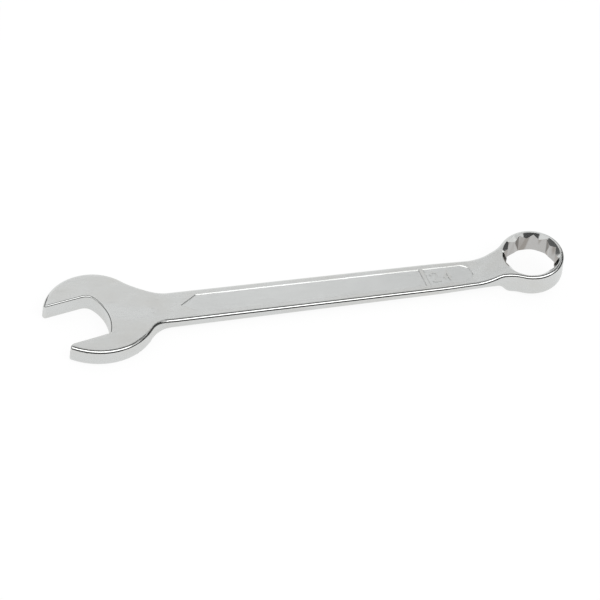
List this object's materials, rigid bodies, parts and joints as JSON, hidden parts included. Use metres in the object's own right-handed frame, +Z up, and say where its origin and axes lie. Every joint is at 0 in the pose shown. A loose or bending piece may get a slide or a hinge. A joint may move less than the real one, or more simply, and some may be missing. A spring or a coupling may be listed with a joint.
{
  "type": "combination wrench",
  "caption": "Flat combination wrench with a slanted open jaw at one end and a cranked 12-point ring at the other, for hexagon nuts.",
  "frame": {"origin": "on the table under the middle of the tool's bounding box; the tool lies on the lower face of its open head, and the ring's lower rim touches the table too", "axes": "+X along the shank from the open head to the ring, +Z up, square to the head's flat faces, +Y across the shank towards the jaw that reaches further forward"},
  "size_m": [0.2668, 0.0494, 0.0201],
  "materials": {
    "satin_chrome": "satin chrome plate over forged steel, polished brighter on the rounded edges"
  },
  "bodies": {
    "root": {"wrench_forging": "satin_chrome"}
  },
  "joints": []
}
